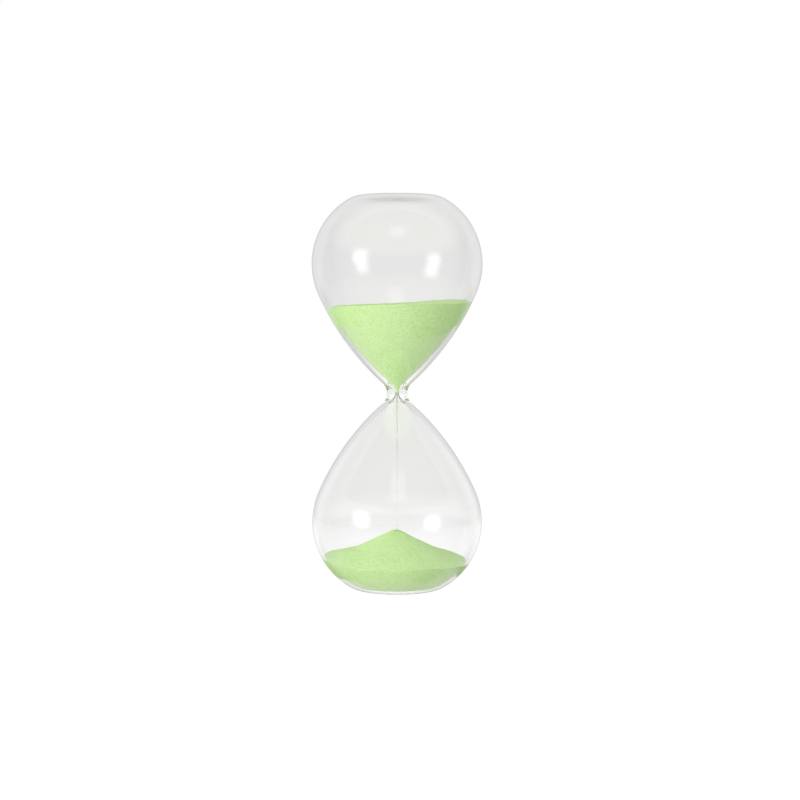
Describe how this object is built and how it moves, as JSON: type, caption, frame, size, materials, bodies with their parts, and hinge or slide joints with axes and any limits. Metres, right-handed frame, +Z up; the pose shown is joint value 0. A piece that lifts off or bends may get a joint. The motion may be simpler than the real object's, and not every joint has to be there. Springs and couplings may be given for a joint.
{
  "type": "hourglass",
  "caption": "Frameless blown-glass hourglass with two flat-ended bulbs joined at a waist, and coloured sand running from one into the other.",
  "frame": {"origin": "centre of the flat face that the glass stands on", "axes": "+Z up the axis of the glass, +X and +Y level and interchangeable"},
  "size_m": [0.082, 0.082, 0.19],
  "materials": {
    "blown_glass": "clear polished borosilicate glass",
    "sand": "matt light green dyed sand"
  },
  "bodies": {
    "glass": {"upper_bulb": "blown_glass", "lower_bulb": "blown_glass", "waist": "blown_glass", "top_disc": "blown_glass", "base_disc": "blown_glass", "fill_plug": "blown_glass", "sand_stream": "sand"},
    "sand_above": {"upper_sand": "sand"},
    "sand_below": {"lower_sand": "sand"}
  },
  "joints": [
    {"name": "upper_level", "type": "slide", "parent": "glass", "child": "sand_above", "axis": [0, 0, -1], "range_m": [-0.006, 0.028], "deforming": ["upper_sand"]},
    {"name": "heap_level", "type": "slide", "parent": "glass", "child": "sand_below", "axis": [0, 0, 1], "range_m": [-0.003, 0.0136], "deforming": ["lower_sand"]}
  ],
  "couplings": [
    {"joint": "heap_level", "follows": "upper_level", "ratio": 0.485}
  ]
}
